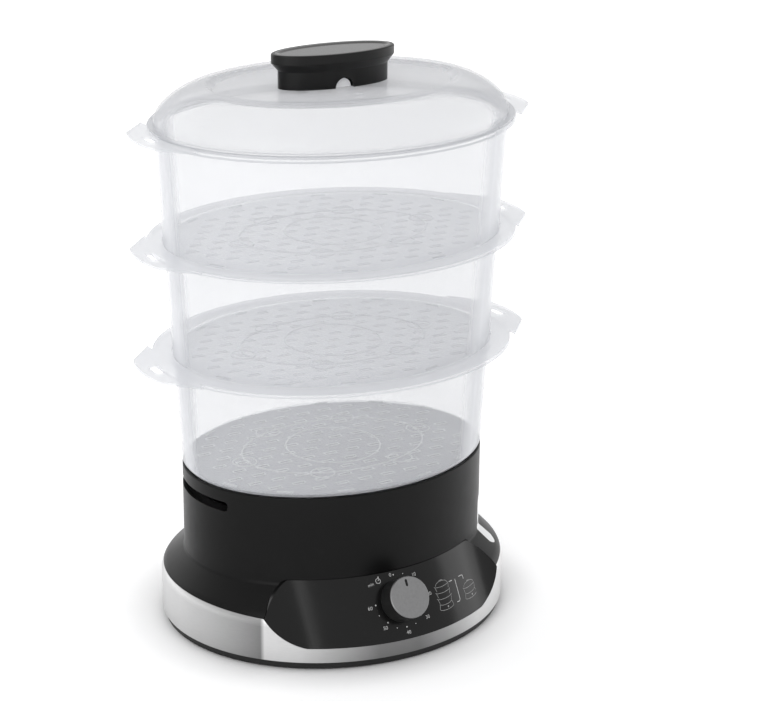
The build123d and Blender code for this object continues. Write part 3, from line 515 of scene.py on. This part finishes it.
# the lid's upstand: an upright half-disc, seen in the notch of the handle's neck; its near-white,
# almost opaque plastic is the lid's plastic with a painted highlight
UPSTAND_RADIUS = 6.0
UPSTAND_FRONT, UPSTAND_BACK = -14.2, -11.7
UPSTAND_GAP = 0.1
POINTS = 17
turns = [math.pi * i / (POINTS - 1) for i in range(POINTS)]
arch = [(UPSTAND_RADIUS * math.cos(t), UPSTAND_RADIUS * math.sin(t)) for t in turns]
foot = lowest("lid_handle") + UPSTAND_GAP
verts = [(x, y, foot + z) for y in (UPSTAND_FRONT, UPSTAND_BACK) for x, z in arch]
faces = [tuple(range(POINTS)), tuple(range(2 * POINTS - 1, POINTS - 1, -1))]
faces += [
    (i, i + POINTS, (i + 1) % POINTS + POINTS, (i + 1) % POINTS) for i in range(POINTS)
]
piece("lid_upstand", verts, faces, upstand_painted_highlight, "lid")

# ---------------------------------------------------------------- camera
PHOTO_WIDTH = 780.0
AZIMUTH, ELEVATION = math.radians(-27.73), math.radians(19.53)
LENS, SENSOR = 99.41, 36.0
SHIFT_X, SHIFT_Y = 60.0, 4.0    # pixels of the photograph
AIM_HEIGHT, AIM_SIDE, DISTANCE = 189.8, -2.098, 1530.4
back = Vector((
    math.sin(AZIMUTH) * math.cos(ELEVATION),
    -math.cos(AZIMUTH) * math.cos(ELEVATION),
    math.sin(ELEVATION),
))
right = Vector((math.cos(AZIMUTH), math.sin(AZIMUTH), 0))
camera_data = bpy.data.cameras.new("camera")
camera_data.lens = LENS
camera_data.sensor_width = SENSOR
camera_data.shift_x = SHIFT_X / PHOTO_WIDTH
camera_data.shift_y = SHIFT_Y / PHOTO_WIDTH
camera_data.clip_end = 50.0
camera = add_object("camera", camera_data)
camera.location = (Vector((0, 0, AIM_HEIGHT)) + right * AIM_SIDE + back * DISTANCE) * MM
camera.rotation_mode = "QUATERNION"
camera.rotation_quaternion = (-back).to_track_quat("-Z", "Y")
bpy.context.scene.camera = camera

# ---------------------------------------------------------------- floor
FLOOR_REACH = 6
floor_mesh = bpy.data.meshes.new("floor")
floor_mesh.from_pydata(
    [(x * FLOOR_REACH, y * FLOOR_REACH, 0) for x, y in ((-1, -1), (1, -1), (1, 1), (-1, 1))],
    [],
    [(0, 1, 2, 3)],
)
floor = add_object("floor", floor_mesh)


def background_rays(tree):
    """One for rays that show the background: from the camera, mirrored or let through."""
    path = tree.nodes.new("ShaderNodeLightPath")
    total = path.outputs["Is Camera Ray"]
    for kind in ("Is Glossy Ray", "Is Transmission Ray"):
        add = tree.nodes.new("ShaderNodeMath")
        add.operation = "ADD"
        add.use_clamp = True
        tree.links.new(total, add.inputs[0])
        tree.links.new(path.outputs[kind], add.inputs[1])
        total = add.outputs["Value"]
    return total


# Metres from the object's middle, with the floor's own light there.  It has none under the
# object, so that the shadow around the foot shows; held back near the foot, it is painted shade
# there.
FLOOR_GLOW_AND_PAINTED_SHADE = [(0.36, 0.55), (0.21, 0.31), (0.16, 0.27), (0.127, 0.0)]
GLOW_SCALE = (0.5, 0.56, 0.5)   # an oval like the foot's


def floor_material():
    """Pale floor that keeps the shadow, with painted shade near the foot where its own light is
    held back, and turns into the white background further out.
    """
    m = Nodes("floor")
    m.drift(m.noise(3.0), (0.95, 0.95, 0.955), (0.965, 0.965, 0.97))
    m.set(Roughness=0.6, Specular_IOR_Level=0.2, Emission_Color=(1, 1, 1, 1))
    # the floor's own light, lowered towards the foot: painted shade around the object
    rise = m.ramp(
        m.gradient("SPHERICAL", m.mapped(GLOW_SCALE)),
        [(1 - reach * GLOW_SCALE[0], grey(level)) for reach, level in FLOOR_GLOW_AND_PAINTED_SHADE],
    )
    glow = m.add("ShaderNodeMath")
    glow.operation = "MULTIPLY"
    m.link(rise, glow.inputs[0])
    m.link(background_rays(m.tree), glow.inputs[1])
    m.link(glow.outputs["Value"], m.bsdf.inputs["Emission Strength"])
    return m.mat


floor_mesh.materials.append(floor_material())


# ---------------------------------------------------------------- light
def softbox(name, place, size, watts, aim):
    light = bpy.data.lights.new(name, "AREA")
    light.shape = "RECTANGLE"
    light.size, light.size_y = size
    light.energy = watts
    obj = add_object(name, light)
    obj.location = place
    obj.rotation_mode = "QUATERNION"
    obj.rotation_quaternion = (Vector(aim) - Vector(place)).to_track_quat("-Z", "Y")


softbox("key", (-1.46, -1.36, 1.05), (1.3, 1.9), 13.8, (0, 0, 0.5))
softbox("fill", (1.9, -0.2, 0.5), (1.5, 0.8), 7, (0, 0, 0.2))
softbox("top", (0.1, 0.2, 2.3), (1.7, 1.7), 3.5, (0, 0, 0.2))
softbox("rim", (-0.9, 1.6, 1.0), (1.5, 1.5), 8, (0, 0, 0.2))

WORLD_LIGHT, WORLD_SEEN = 0.63, 1.0
world = bpy.data.worlds.new("world")
bpy.context.scene.world = world
world.use_nodes = True
background = world.node_tree.nodes["Background"]
background.inputs["Color"].default_value = (1, 1, 1, 1)
strength = world.node_tree.nodes.new("ShaderNodeMapRange")
strength.inputs["To Min"].default_value = WORLD_LIGHT
strength.inputs["To Max"].default_value = WORLD_SEEN
world.node_tree.links.new(background_rays(world.node_tree), strength.inputs["Value"])
world.node_tree.links.new(strength.outputs["Result"], background.inputs["Strength"])

bpy.context.scene.view_settings.view_transform = "Standard"
